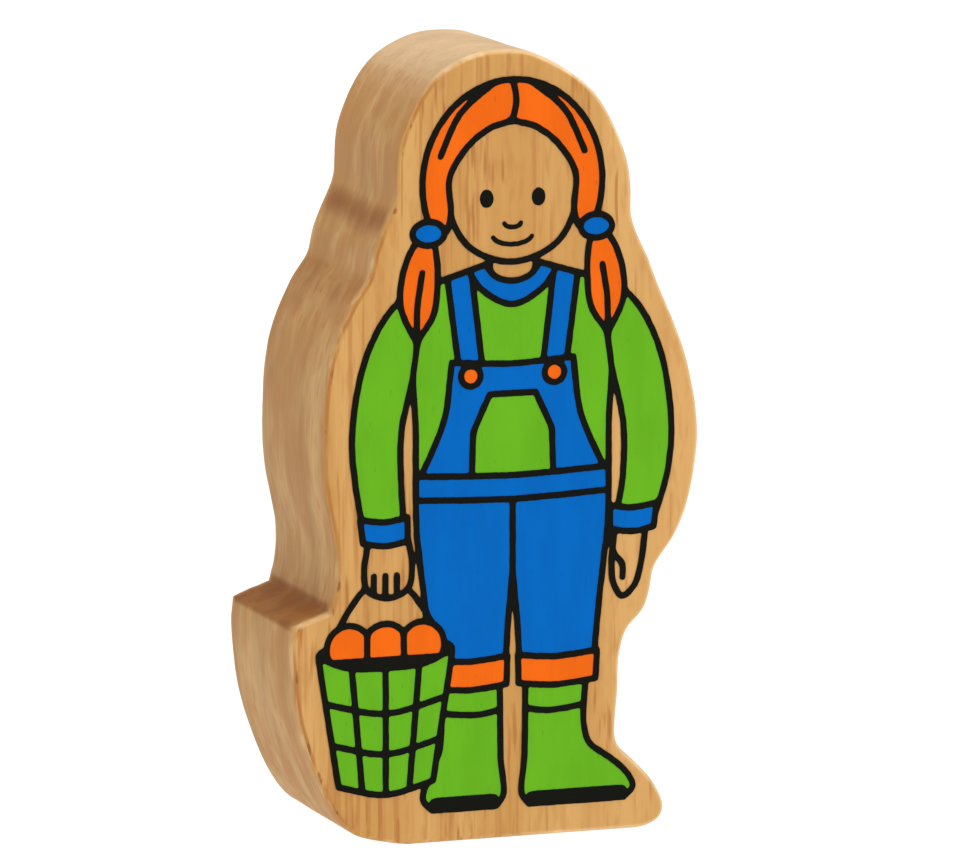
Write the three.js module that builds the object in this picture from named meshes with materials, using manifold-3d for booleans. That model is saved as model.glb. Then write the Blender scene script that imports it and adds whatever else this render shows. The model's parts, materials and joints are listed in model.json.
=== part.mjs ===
// A wooden toy figure: a child with a basket, sawn from one thick board as a single silhouette.
// The long edges are sanded round, and the child is printed on both faces in orange, green, blue and black.
// Millimetres, +Z up. The front looks along -Y, and the origin is on the table under the middle of the block.
import * as THREE from "three";
import { mergeVertices } from "three/addons/utils/BufferGeometryUtils.js";
import Module from "manifold-3d";

// Block
const BLOCK_THICKNESS = 25;
const EDGE_ROUND = 1.2;
const WOOD_MARGIN = 3.2; // bare wood between the picture and the edge
const FOOT_MARGIN = 4.2; // bare wood under the soles

// Ink
const INK_FILM = 0.05;
const LINE_WIDTH = 1;
const FACE_LINE = 0.8; // nose and mouth
const SOLE_LINE = 2.2;
const COLOUR_SEAM = 0.4; // gap between two colours, covered by the black line
const SPECK_AREA = 0.3; // square mm: a smaller patch or gap doesn't hold in print
const CHORD_ERROR = 0.05; // most that a facet stands off its curve
const TUCK = 1; // how far a colour runs in behind the thing in front of it
const SAG = 0.5; // how far a hem or a cuff bows

// Lengths up the child
const BOOT_HEIGHT = 15.4; // sole to turn-up
const BOOT_BAND = 3.2;
const TURNUP_DEPTH = 3.6;
const INSIDE_LEG = 29.8; // sole to crotch
const RISE = 12.4; // crotch to waist
const WAISTBAND_DEPTH = 3;
const POCKET_HEIGHT = 9.8;
const BIB_HEIGHT = 14;
const SIDE_SEAM = 12.2; // waist to armpit
const ARMHOLE_DEPTH = 11.4; // armpit to shoulder
const SHOULDER_SLOPE = 1.6; // shoulder to the foot of the neck
const UPPER_ARM = 20; // shoulder to elbow
const FOREARM = 11.6; // elbow to wrist
const CUFF_DEPTH = 3;
const HAND_LENGTH = 8.6;
const FIST_HEIGHT = 7;
const NECK_HEIGHT = 1; // foot of the neck to chin
const COLLAR_DEPTH = 5.3;
const HEAD_HEIGHT = 22.7; // chin to crown
const CROWN_RISE = 12.8; // temple to crown
const HAIR_DEPTH = 5.1; // crown to the hair's edge over the face
const EYE_HEIGHT = 8; // above the chin
const TIE_HEIGHT = 4; // above the chin
const TIE_DEPTH = 3;
const BUNCH_LENGTH = 13.4; // tie to tip

// Reaches to either side of the child's centre line
const HEAD_REACH = 11.8;
const FACE_REACH = 8.6;
const EYE_REACH = 3.4;
const EYE_RADIUS = 1;
const NOSE_REACH = 1.1;
const MOUTH_REACH = 2.6;
const TIE_REACH = 11;
const TIE_WIDTH = 4.2;
const BUNCH_REACH = 14.6;
const BUNCH_WIDTH = 4.8;
const NECK_REACH = 3;
const COLLAR_REACH = 5.8;
const STRAP_REACH = 7; // on the shoulder
const STRAP_FOOT_REACH = 5.5; // on the bib
const STRAP_WIDTH = 3.1;
const BUTTON_RADIUS = 1.3;
const BIB_REACH = 8;
const POCKET_REACH = 5.4;
const ARMHOLE_REACH = 11.6;
const ARMPIT_REACH = 13.1;
const BODY_REACH = 12.7;
const ELBOW_REACH = 21;
const SLEEVE_WIDTH = 6.4;
const RIGHT_WRIST_REACH = 19.2;
const LEFT_WRIST_REACH = 18.3;
const WRIST_WIDTH = 5;
const CUFF_FLARE = 0.4;
const HAND_WIDTH = 4;
const FIST_WIDTH = 6.3;
const FINGER_PITCH = 1.5;
const LEG_REACH = 10.7;
const BOOT_REACH = 9.4; // outside of the boot's leg
const BOOT_GAP = 1.2; // inside of the heel
const LEFT_TOE_REACH = 16;
const RIGHT_TOE_REACH = 11.8;

// Basket, hung from the right hand
const BASKET_Z = 8; // above the table
const BASKET_HEIGHT = 16.5;
const RIM_RADIUS = 8.8;
const RIM_DIP = 1.9;
const BASE_RADIUS = 6.2;
const BASE_DIP = 1.4;
const FRUIT_RADIUS = 2.9;
const FRUIT_PITCH = 4.8;

// Heights above the table that follow
const SOLE_Z = FOOT_MARGIN;
const TURNUP_Z = SOLE_Z + BOOT_HEIGHT;
const CROTCH_Z = SOLE_Z + INSIDE_LEG;
const WAIST_Z = CROTCH_Z + RISE;
const POCKET_Z = WAIST_Z + POCKET_HEIGHT;
const BIB_Z = WAIST_Z + BIB_HEIGHT;
const ARMPIT_Z = WAIST_Z + SIDE_SEAM;
const SHOULDER_Z = ARMPIT_Z + ARMHOLE_DEPTH;
const ELBOW_Z = SHOULDER_Z - UPPER_ARM;
const WRIST_Z = ELBOW_Z - FOREARM;
const NAPE_Z = SHOULDER_Z + SHOULDER_SLOPE;
const CHIN_Z = NAPE_Z + NECK_HEIGHT;
const COLLAR_Z = CHIN_Z - COLLAR_DEPTH;
const EYE_Z = CHIN_Z + EYE_HEIGHT;
const TIE_Z = CHIN_Z + TIE_HEIGHT;
const CROWN_Z = CHIN_Z + HEAD_HEIGHT;
const TEMPLE_Z = CROWN_Z - CROWN_RISE;
const PARTING_Z = CROWN_Z - HAIR_DEPTH;
const RIM_Z = BASKET_Z + BASKET_HEIGHT;
const BASKET_REACH = RIGHT_WRIST_REACH - WRIST_WIDTH / 2; // under the middle of the wrist

const wasm = await Module();
wasm.setup();

// A curve as points, each span halved until it stays within CHORD_ERROR of the curve.
function sampled(curve, spans) {
  const points = [curve.getPoint(0)];
  const halve = (t0, p0, t1, p1) => {
    const t = (t0 + t1) / 2;
    const p = curve.getPoint(t);
    const chord = p1.clone().sub(p0);
    const off = p.clone().sub(p0);
    const sag = Math.abs(chord.x * off.y - chord.y * off.x) / Math.max(chord.length(), 1e-9);
    if (sag > CHORD_ERROR) {
      halve(t0, p0, t, p);
      halve(t, p, t1, p1);
    } else points.push(p1);
  };
  for (let i = 0; i < spans; i++) {
    halve(i / spans, curve.getPoint(i / spans), (i + 1) / spans, curve.getPoint((i + 1) / spans));
  }
  return points.map((p) => new THREE.Vector2(p.x, p.y));
}

const spline = (...points) =>
  sampled(
    new THREE.CatmullRomCurve3(
      points.map(([u, z]) => new THREE.Vector3(u, z, 0)),
      false,
      "centripetal",
    ),
    points.length - 1,
  );

const arc = (u, z, ru, rz, from, to) => sampled(new THREE.EllipseCurve(u, z, ru, rz, from, to), 4);

// A whole oval as two edges, so that a pen line round it doesn't run over its own start.
const oval = (u, z, ru, rz) => [arc(u, z, ru, rz, 0, Math.PI), arc(u, z, ru, rz, Math.PI, 2 * Math.PI)];

const between = (a, b, share) => a + (b - a) * share;

const straight = (...points) => points.map(([u, z]) => new THREE.Vector2(u, z));

// A ring of corners as straight edges, each drawn by itself.
const ringOf = (corners) => corners.map((p, i) => straight(p, corners[(i + 1) % corners.length]));

const onSide = (side, points) => points.map(([u, z]) => [side * u, z]);

const bothSides = (points) => [...onSide(-1, points), ...onSide(1, points).reverse().slice(1)];

// A closed outline as one list of points, from edges that follow each other.
function loop(edges) {
  const points = [];
  for (const p of edges.flat()) {
    if (!points.length || p.distanceTo(points[points.length - 1]) > 1e-3) points.push(p);
  }
  if (points[0].distanceTo(points[points.length - 1]) < 1e-3) points.pop();
  return points;
}

function solidOf(geometry) {
  geometry.deleteAttribute("normal");
  geometry.deleteAttribute("uv");
  const merged = mergeVertices(geometry, 1e-5);
  const triVerts = new Uint32Array(merged.index.array);
  const vertProperties = merged.attributes.position.array;
  return new wasm.Manifold(new wasm.Mesh({ numProp: 3, vertProperties, triVerts }));
}

function geometryOf(solid) {
  const mesh = solid.getMesh();
  return new THREE.BufferGeometry()
    .setAttribute("position", new THREE.BufferAttribute(mesh.vertProperties, 3))
    .setIndex(new THREE.BufferAttribute(mesh.triVerts, 1));
}

const DEEP = [-1, 1]; // a layer that reaches through every film

function slab(points, [low, high]) {
  const depth = high - low;
  const geometry = new THREE.ExtrudeGeometry(new THREE.Shape(points), { depth, bevelEnabled: false });
  return solidOf(geometry.translate(0, 0, low));
}

// The points of a row that its shape needs.
function needed(row) {
  const a = row[0];
  const b = row[row.length - 1];
  const chord = b.clone().sub(a);
  let worst = 0;
  let at = 0;
  row.forEach((p, i) => {
    const share = p.clone().sub(a).dot(chord) / Math.max(chord.lengthSq(), 1e-9);
    const off = p.distanceTo(a.clone().addScaledVector(chord, THREE.MathUtils.clamp(share, 0, 1)));
    if (off > worst) {
      worst = off;
      at = i;
    }
  });
  if (worst < CHORD_ERROR * 0.6) return [a, b];
  return [...needed(row.slice(0, at + 1)), ...needed(row.slice(at)).slice(1)];
}

// A film traced again round its edge, without specks.
function retraced(solid, layer) {
  const { vertProperties, triVerts } = solid.getMesh();
  const onFloor = (i) => Math.abs(vertProperties[3 * i + 2] - layer[0]) < INK_FILM / 4;
  const border = new Map();
  for (let t = 0; t < triVerts.length; t += 3) {
    const corners = [...triVerts.subarray(t, t + 3)];
    if (!corners.every(onFloor)) continue;
    corners.forEach((a, k) => {
      const b = corners[(k + 1) % 3];
      if (!border.delete(b + " " + a)) border.set(a + " " + b, [a, b]);
    });
  }
  const after = new Map(border.values());
  const loops = [];
  while (after.size) {
    let [at] = after.keys();
    const points = [];
    while (after.has(at)) {
      points.push(new THREE.Vector2(vertProperties[3 * at], vertProperties[3 * at + 1]));
      const to = after.get(at);
      after.delete(at);
      at = to;
    }
    const corner = points.reduce((best, p) => (p.x < best.x || (p.x === best.x && p.y < best.y) ? p : best));
    const first = points.indexOf(corner);
    loops.push(needed([...points.slice(first), ...points.slice(0, first + 1)]).slice(1));
  }
  const area = (points) => (points.length < 3 ? 0 : THREE.ShapeUtils.area(points));
  const outers = loops.filter((points) => -area(points) > SPECK_AREA);
  const holes = loops.filter((points) => area(points) > SPECK_AREA);
  const filled = joined(outers.map((points) => slab(points, layer)));
  return holes.reduce((film, points) => film.subtract(slab(points, DEEP)), filled);
}

// A pen line along a row of points, with round ends.
function stroke(line, width, layer) {
  const left = [];
  const right = [];
  const across = (a, b) => new THREE.Vector2(a.y - b.y, b.x - a.x).setLength(width / 2);
  line.forEach((p, i) => {
    const n = across(line[Math.max(i - 1, 0)], line[Math.min(i + 1, line.length - 1)]);
    left.push(p.clone().add(n));
    right.unshift(p.clone().sub(n));
  });
  const cap = (centre, from) => {
    const spoke = from.clone().sub(centre);
    const turned = (k) => spoke.clone().rotateAround(new THREE.Vector2(), (-k * Math.PI) / 5);
    return [1, 2, 3, 4].map((k) => turned(k).add(centre));
  };
  const end = cap(line[line.length - 1], left[left.length - 1]);
  const start = cap(line[0], right[right.length - 1]);
  return slab([...left, ...end, ...right, ...start], layer);
}

const joined = (solids) => solids.reduce((whole, solid) => whole.add(solid));

// One printed thing: its outline as edges, its ink if it has one, and black lines drawn inside it.
const drawn = (name, ink, edges, details = []) => ({ name, ink, edges, details });

const SIDES = [
  ["right", -1],
  ["left", 1],
];

function boot(name, side, toe) {
  const along = (share) => between(BOOT_REACH, toe, share);
  const level = (share) => SOLE_Z + BOOT_HEIGHT * share;
  const top = TURNUP_Z + TUCK;
  const instep = [
    [BOOT_REACH + LINE_WIDTH * 0.4, top],
    [BOOT_REACH, level(0.65)],
    [along(0.12), level(0.47)],
    [along(0.52), level(0.34)],
    [along(0.87), level(0.21)],
    [toe, level(0.085)],
    [toe - BOOT_HEIGHT * 0.08, SOLE_Z],
  ];
  const heel = [
    [BOOT_GAP + LINE_WIDTH, SOLE_Z],
    [BOOT_GAP, level(0.09)],
    [BOOT_GAP + LINE_WIDTH * 0.4, level(0.39)],
    [BOOT_GAP + LINE_WIDTH * 0.5, top],
  ];
  const tread = SOLE_Z + (SOLE_LINE - LINE_WIDTH) / 2;
  const sole = [
    [toe - SOLE_LINE * 0.73, tread],
    [BOOT_GAP + SOLE_LINE * 0.64, tread],
  ];
  const band = [
    [heel[3][0] + LINE_WIDTH * 0.1, TURNUP_Z - BOOT_BAND],
    [BOOT_REACH / 2, TURNUP_Z - BOOT_BAND - SAG],
    [BOOT_REACH - LINE_WIDTH * 0.05, TURNUP_Z - BOOT_BAND],
  ];
  return {
    ...drawn(name, "green", [
      spline(...onSide(side, instep)),
      straight(...onSide(side, [instep[6], heel[0]])),
      spline(...onSide(side, heel)),
      straight(...onSide(side, [heel[3], instep[0]])),
    ]),
    details: [spline(...onSide(side, band))],
    heavy: [straight(...onSide(side, sole))],
  };
}

function trousers(name) {
  const hem = TURNUP_Z + TURNUP_DEPTH / 2;
  const seat = [
    [BODY_REACH, WAIST_Z],
    [BODY_REACH - LINE_WIDTH * 0.1, WAIST_Z - RISE * 0.6],
    [between(LEG_REACH, BODY_REACH, 0.4), CROTCH_Z - RISE * 0.32],
    [LEG_REACH, hem],
  ];
  const inside = [
    [LINE_WIDTH, hem],
    [LINE_WIDTH * 0.6, (hem + CROTCH_Z) / 2],
    [0, CROTCH_Z],
  ];
  const waist = (drop) =>
    spline([-BODY_REACH, WAIST_Z - drop], [0, WAIST_Z - drop - SAG], [BODY_REACH, WAIST_Z - drop]);
  return drawn(
    name,
    "blue",
    [
      waist(0),
      spline(...seat),
      straight(seat[3], inside[0]),
      spline(...inside),
      spline(...onSide(-1, inside).reverse()),
      straight(...onSide(-1, [inside[0], seat[3]])),
      spline(...onSide(-1, seat).reverse()),
    ],
    [waist(WAISTBAND_DEPTH), straight([0, CROTCH_Z], [0, WAIST_Z - WAISTBAND_DEPTH - SAG])],
  );
}

function turnup(name, side) {
  const top = TURNUP_Z + TURNUP_DEPTH;
  const outer = LEG_REACH + LINE_WIDTH * 0.5;
  const upper = [
    [LINE_WIDTH * 0.7, top],
    [outer / 2, top - SAG],
    [outer, top],
  ];
  const lower = [
    [outer - LINE_WIDTH * 0.2, TURNUP_Z],
    [outer / 2, TURNUP_Z - SAG],
    [LINE_WIDTH * 0.8, TURNUP_Z],
  ];
  return drawn(name, "orange", [
    spline(...onSide(side, upper)),
    straight(...onSide(side, [upper[2], lower[0]])),
    spline(...onSide(side, lower)),
    straight(...onSide(side, [lower[2], upper[0]])),
  ]);
}

const armhole = [
  [ARMHOLE_REACH, SHOULDER_Z],
  [between(ARMHOLE_REACH, ARMPIT_REACH, 0.47), (SHOULDER_Z + ARMPIT_Z) / 2],
  [ARMPIT_REACH, ARMPIT_Z],
];

// The top of the shoulder, falling evenly from the neck to the armhole.
const shoulderTop = (u) =>
  between(CHIN_Z, SHOULDER_Z, (u - NECK_REACH) / (ARMHOLE_REACH - NECK_REACH));

function shirtSide(name, side) {
  const shoulder = [
    [STRAP_REACH, shoulderTop(STRAP_REACH)],
    [ARMHOLE_REACH, SHOULDER_Z],
  ];
  const flank = [
    [ARMPIT_REACH, ARMPIT_Z],
    [BODY_REACH, (ARMPIT_Z + WAIST_Z) / 2],
    [BODY_REACH, WAIST_Z - TUCK],
  ];
  return drawn(name, "green", [
    straight(...onSide(side, shoulder)),
    spline(...onSide(side, armhole)),
    spline(...onSide(side, flank)),
    straight(...onSide(side, [flank[2], [0, WAIST_Z - TUCK], [0, BIB_Z - BIB_HEIGHT * 0.2], shoulder[0]])),
  ]);
}

function shirtMiddle(name, foot, low) {
  const top = [STRAP_REACH, shoulderTop(STRAP_REACH)];
  return drawn(name, "green", [straight([-foot, low], ...onSide(-1, [top]), top, [foot, low], [-foot, low])]);
}

function collar(name, dip) {
  const outer = bothSides([
    [COLLAR_REACH, shoulderTop(COLLAR_REACH)],
    [COLLAR_REACH * 0.71, CHIN_Z - COLLAR_DEPTH * 0.61],
    [0, COLLAR_Z],
  ]);
  const inner = bothSides([
    [NECK_REACH * 1.17, shoulderTop(NECK_REACH * 1.17)],
    [NECK_REACH * 0.8, CHIN_Z - dip * 0.7],
    [0, CHIN_Z - dip],
  ]).reverse();
  return drawn(name, "blue", [
    spline(...outer),
    straight(outer[4], inner[0]),
    spline(...inner),
    straight(inner[4], outer[0]),
  ]);
}

function sleeve(name, side) {
  const wrist = side < 0 ? RIGHT_WRIST_REACH : LEFT_WRIST_REACH;
  const outer = [
    [ARMHOLE_REACH, SHOULDER_Z],
    [between(ARMHOLE_REACH, ELBOW_REACH, 0.43), SHOULDER_Z - UPPER_ARM * 0.12],
    [between(ARMHOLE_REACH, ELBOW_REACH, 0.81), SHOULDER_Z - UPPER_ARM * 0.425],
    [ELBOW_REACH, ELBOW_Z + UPPER_ARM * 0.1],
    [ELBOW_REACH - SLEEVE_WIDTH * 0.08, ELBOW_Z - FOREARM * 0.43],
    [wrist, WRIST_Z],
  ];
  const inner = [
    [wrist - WRIST_WIDTH, WRIST_Z],
    [ELBOW_REACH - SLEEVE_WIDTH, ELBOW_Z - FOREARM * 0.43],
    [ELBOW_REACH - SLEEVE_WIDTH, ELBOW_Z + UPPER_ARM * 0.1],
    [ARMPIT_REACH, ARMPIT_Z],
  ];
  return drawn(name, "green", [
    spline(...onSide(side, outer)),
    straight(...onSide(side, [outer[5], inner[0]])),
    spline(...onSide(side, inner)),
    spline(...onSide(side, armhole).reverse()),
  ]);
}

function cuff(name, side) {
  const wrist = side < 0 ? RIGHT_WRIST_REACH : LEFT_WRIST_REACH;
  const outer = wrist + CUFF_FLARE;
  const inner = wrist - WRIST_WIDTH - CUFF_FLARE;
  const middle = (inner + outer) / 2;
  const top = WRIST_Z + CUFF_DEPTH;
  return drawn(name, "blue", [
    spline(...onSide(side, [[inner, top], [middle, top - SAG], [outer + CUFF_FLARE, top]])),
    straight(...onSide(side, [[outer + CUFF_FLARE, top], [outer, WRIST_Z]])),
    spline(...onSide(side, [[outer, WRIST_Z], [middle, WRIST_Z - SAG], [inner, WRIST_Z]])),
    straight(...onSide(side, [[inner, WRIST_Z], [inner, top]])),
  ]);
}

// The left hand hangs open, and the right one is closed on the basket's handle. Both are bare wood.
function openHand() {
  const outer = LEFT_WRIST_REACH - HAND_WIDTH * 0.15;
  const at = (across, down) => [outer - HAND_WIDTH * across, WRIST_Z - HAND_LENGTH * down];
  const top = WRIST_Z + TUCK;
  const edge = [
    [outer - HAND_WIDTH, top],
    at(1.15, 0.45),
    at(1.08, 0.81),
    at(0.8, 1),
    at(0.4, 0.86),
    at(0.15, 0.49),
    [outer, top],
  ];
  const thumb = spline(at(1.12, 0.35), at(0.78, 0.53), at(0.78, 0.72));
  return drawn("", null, [spline(...edge), straight(edge[6], edge[0])], [thumb]);
}

function closedHand(gaps) {
  const at = (across, down) => [FIST_WIDTH * across - BASKET_REACH, WRIST_Z - FIST_HEIGHT * down];
  const top = WRIST_Z + TUCK;
  const edge = [
    [FIST_WIDTH * 0.44 - BASKET_REACH, top],
    at(0.56, 0.43),
    at(0.46, 0.86),
    at(0.03, 1),
    at(-0.38, 0.84),
    at(-0.44, 0.43),
    [-FIST_WIDTH * 0.32 - BASKET_REACH, top],
  ];
  const fingers = gaps.map((k) => {
    const u = k * FINGER_PITCH - BASKET_REACH;
    return straight([u, WRIST_Z - FIST_HEIGHT * 0.94], [u, WRIST_Z - FIST_HEIGHT * 0.6]);
  });
  return drawn("", null, [spline(...edge), straight(edge[6], edge[0])], fingers);
}

function neck() {
  const low = COLLAR_Z + 2 * TUCK;
  const high = CHIN_Z + 2 * TUCK;
  return drawn("", null, ringOf([
    [-NECK_REACH, low],
    [NECK_REACH, low],
    [NECK_REACH, high],
    [-NECK_REACH, high],
  ]));
}

// The crown of the head, from the end of the hair at one ear to the other.
const EAR_ANGLE = 0.46;
const crown = arc(0, TEMPLE_Z, HEAD_REACH, CROWN_Z - TEMPLE_Z, -EAR_ANGLE, Math.PI + EAR_ANGLE);
const ear = [HEAD_REACH * Math.cos(EAR_ANGLE), TEMPLE_Z - (CROWN_Z - TEMPLE_Z) * Math.sin(EAR_ANGLE)];

function bunch(name, side) {
  const at = (across, down) => [BUNCH_REACH - BUNCH_WIDTH * across, TIE_Z - BUNCH_LENGTH * down];
  const root = [TIE_REACH, TIE_Z];
  const tip = at(0.42, 1);
  const spread = [(TIE_REACH + BUNCH_REACH) / 2, TIE_Z - BUNCH_LENGTH * 0.1];
  const gathered = [TIE_REACH - BUNCH_WIDTH * 0.19, TIE_Z - BUNCH_LENGTH * 0.15];
  const outer = [root, spread, at(0.04, 0.37), at(0, 0.69), tip];
  const inner = [tip, at(0.88, 0.76), at(1, 0.43), gathered, root];
  const strand = [tip, at(0.44, 0.66), at(0.58, 0.36)];
  return drawn(
    name,
    "orange",
    [spline(...onSide(side, outer)), spline(...onSide(side, inner))],
    [spline(...onSide(side, strand))],
  );
}

const tie = (name, side) => drawn(name, "blue", oval(side * TIE_REACH, TIE_Z, TIE_WIDTH / 2, TIE_DEPTH / 2));

function handle() {
  const rise = WRIST_Z - FIST_HEIGHT * 0.69 - RIM_Z;
  const arch = [
    [-RIM_RADIUS * 0.86, RIM_DIP * 0.47],
    [-RIM_RADIUS * 0.57, rise * 0.58],
    [-RIM_RADIUS * 0.3, rise * 0.9],
    [0, rise],
  ];
  const hoop = [...arch, ...onSide(-1, arch).reverse().slice(1)];
  return drawn("", null, [], [spline(...hoop.map(([u, z]) => [u - BASKET_REACH, z + RIM_Z]))]);
}

const basketMouth = () => drawn("", null, oval(-BASKET_REACH, RIM_Z, RIM_RADIUS, RIM_DIP));

// Three round fruits side by side in the basket's mouth.
function fruit(name) {
  const meet = Math.acos(FRUIT_PITCH / 2 / FRUIT_RADIUS);
  const middle = RIM_Z + FRUIT_RADIUS * 0.28;
  const cusp = middle + FRUIT_RADIUS * Math.sin(meet);
  const bulge = (k, from, to) =>
    arc(-BASKET_REACH + k * FRUIT_PITCH, middle, FRUIT_RADIUS, FRUIT_RADIUS, from, to);
  const far = Math.PI - meet;
  const ends = [bulge(1, -0.6, far), bulge(0, meet, far), bulge(-1, meet, Math.PI + 0.6)];
  const gaps = [-0.5, 0.5].map((k) => {
    const u = -BASKET_REACH + k * FRUIT_PITCH;
    return straight([u, cusp], [u, RIM_Z - RIM_DIP]);
  });
  return drawn(name, "orange", [...ends, [ends[2][ends[2].length - 1], ends[0][0]]], gaps);
}

function basket(name) {
  const at = (points) => points.map(([u, z]) => [u - BASKET_REACH, z]);
  const rim = at([
    [-RIM_RADIUS, RIM_Z],
    [-RIM_RADIUS * 0.6, RIM_Z - RIM_DIP * 0.8],
    [0, RIM_Z - RIM_DIP],
    [RIM_RADIUS * 0.6, RIM_Z - RIM_DIP * 0.8],
    [RIM_RADIUS, RIM_Z],
  ]);
  const base = at([
    [BASE_RADIUS, BASKET_Z],
    [0, BASKET_Z - BASE_DIP],
    [-BASE_RADIUS, BASKET_Z],
  ]);
  const hoops = [0.32, 0.64].map((share) => {
    const radius = between(BASE_RADIUS, RIM_RADIUS, share);
    const level = BASKET_Z + BASKET_HEIGHT * share;
    return spline(...at([[-radius, level], [0, level - between(BASE_DIP, RIM_DIP, share)], [radius, level]]));
  });
  const stakes = [-0.5, 0, 0.5].map((share) => {
    const foot = BASKET_Z - BASE_DIP * (1 - Math.abs(share));
    return straight(...at([[RIM_RADIUS * share, RIM_Z - RIM_DIP], [BASE_RADIUS * share, foot]]));
  });
  return drawn(
    name,
    "green",
    [spline(...rim), straight(rim[4], base[0]), spline(...base), straight(base[2], rim[0])],
    [...hoops, ...stakes],
  );
}

function face() {
  const top = [0, PARTING_Z + 2 * TUCK];
  const cheek = [
    top,
    [FACE_REACH * 0.81, between(TEMPLE_Z, PARTING_Z, 0.74)],
    [FACE_REACH, TEMPLE_Z],
    [FACE_REACH * 0.94, between(CHIN_Z, TEMPLE_Z, 0.6)],
    [FACE_REACH * 0.65, between(CHIN_Z, TEMPLE_Z, 0.2)],
    [0, CHIN_Z],
  ];
  const round = spline(...cheek, ...onSide(-1, cheek).reverse().slice(1));
  const chin = Math.floor(round.length / 2);
  return drawn("", null, [round.slice(0, chin + 1), round.slice(chin)]);
}

function partedHair(name) {
  const sweep = [
    ear,
    [FACE_REACH * 1.035, between(ear[1], TEMPLE_Z, -0.05)],
    [FACE_REACH * 0.94, between(ear[1], TEMPLE_Z, 0.35)],
    [FACE_REACH * 0.965, between(TEMPLE_Z, PARTING_Z, 0.1)],
    [FACE_REACH * 0.72, between(TEMPLE_Z, PARTING_Z, 0.57)],
    [FACE_REACH * 0.37, between(TEMPLE_Z, PARTING_Z, 0.88)],
    [0, PARTING_Z],
  ];
  const strand = (side) =>
    spline(
      ...onSide(side, [
        [HEAD_REACH * 0.19, CROWN_Z - CROWN_RISE * 0.015],
        [HEAD_REACH * 0.58, CROWN_Z - CROWN_RISE * 0.31],
        [HEAD_REACH * 0.8, CROWN_Z - CROWN_RISE * 0.72],
      ]),
    );
  const parting = spline([0, PARTING_Z], [LINE_WIDTH * 0.5, (PARTING_Z + CROWN_Z) / 2], [0, CROWN_Z]);
  return drawn(
    name,
    "orange",
    [crown, spline(...onSide(-1, sweep)), spline(...sweep.toReversed())],
    [parting, strand(-1), strand(1)],
  );
}

function backHair(name) {
  const nape = [
    ear,
    [HEAD_REACH * 0.71, CHIN_Z + TUCK],
    [HEAD_REACH * 0.36, CHIN_Z - TUCK * 0.5],
    [0, CHIN_Z + TUCK],
  ];
  const parting = spline([0, CROWN_Z], [LINE_WIDTH * 0.6, (CROWN_Z + CHIN_Z) / 2], [0, CHIN_Z + TUCK]);
  const strand = (side) =>
    spline(
      ...onSide(side, [
        [HEAD_REACH * 0.22, CROWN_Z - CROWN_RISE * 0.025],
        [HEAD_REACH * 0.53, CROWN_Z - CROWN_RISE * 0.61],
        [HEAD_REACH * 0.63, CROWN_Z - CROWN_RISE * 1.23],
      ]),
    );
  return drawn(
    name,
    "orange",
    [crown, spline(...onSide(-1, nape)), spline(...nape.toReversed())],
    [parting, strand(-1), strand(1)],
  );
}

function bib(name) {
  const side = [
    [BIB_REACH, BIB_Z],
    [between(BIB_REACH, BODY_REACH, 0.2), WAIST_Z + BIB_HEIGHT * 0.5],
    [between(BIB_REACH, BODY_REACH, 0.8), WAIST_Z + BIB_HEIGHT * 0.04],
    [BODY_REACH, WAIST_Z - BIB_HEIGHT * 0.1],
  ];
  return drawn(name, "blue", [
    spline([-BIB_REACH, BIB_Z], [0, BIB_Z - SAG], [BIB_REACH, BIB_Z]),
    spline(...side),
    straight(side[3], [-side[3][0], side[3][1]]),
    spline(...onSide(-1, side).reverse()),
  ]);
}

function frontStrap(name, side) {
  const half = STRAP_WIDTH / 2;
  const low = BIB_Z - TUCK;
  const corners = [
    [STRAP_REACH + half, shoulderTop(STRAP_REACH + half)],
    [STRAP_FOOT_REACH + half, low],
    [STRAP_FOOT_REACH - half, low],
    [STRAP_REACH - half, shoulderTop(STRAP_REACH - half)],
  ];
  return drawn(name, "blue", ringOf(onSide(side, corners)));
}

function button(name, side) {
  const middle = BIB_Z - BUTTON_RADIUS * 1.4;
  return drawn(name, "orange", oval(side * STRAP_FOOT_REACH, middle, BUTTON_RADIUS, BUTTON_RADIUS));
}

function bibPocket(name) {
  const side = [
    [POCKET_REACH, WAIST_Z - 2 * TUCK],
    [POCKET_REACH * 0.96, POCKET_Z - POCKET_HEIGHT * 0.47],
    [POCKET_REACH * 0.56, POCKET_Z],
  ];
  return drawn(name, "green", ringOf([...side, ...onSide(-1, side).reverse()]));
}

// Braces that meet between the shoulder blades and run down to the waist as one.
function backBraces(name) {
  const half = STRAP_WIDTH / 2;
  const low = WAIST_Z - 2 * TUCK;
  const outer = [
    [STRAP_REACH + half, shoulderTop(STRAP_REACH + half)],
    [half, ARMPIT_Z - TUCK],
    [half, low],
  ];
  const fork = [
    [STRAP_REACH - half, shoulderTop(STRAP_REACH - half)],
    [0, ARMPIT_Z + half],
  ];
  const rim = [...outer, ...onSide(-1, outer).reverse(), ...onSide(-1, fork), fork[0]];
  return drawn(name, "blue", ringOf(rim));
}

function backPocket(name, side) {
  const top = WAIST_Z - WAISTBAND_DEPTH - LINE_WIDTH * 0.4;
  const low = CROTCH_Z + LINE_WIDTH * 1.4;
  const edge = [
    [BODY_REACH * 0.25, top],
    [BODY_REACH * 0.25, low + RISE * 0.13],
    [BODY_REACH * 0.5, low],
    [BODY_REACH * 0.75, low + RISE * 0.13],
    [BODY_REACH * 0.75, top],
  ];
  return drawn(name, "green", ringOf(onSide(side, edge)));
}

const both = (make, name) => SIDES.map(([word, side]) => make(name.replace("SIDE", word), side));

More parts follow.
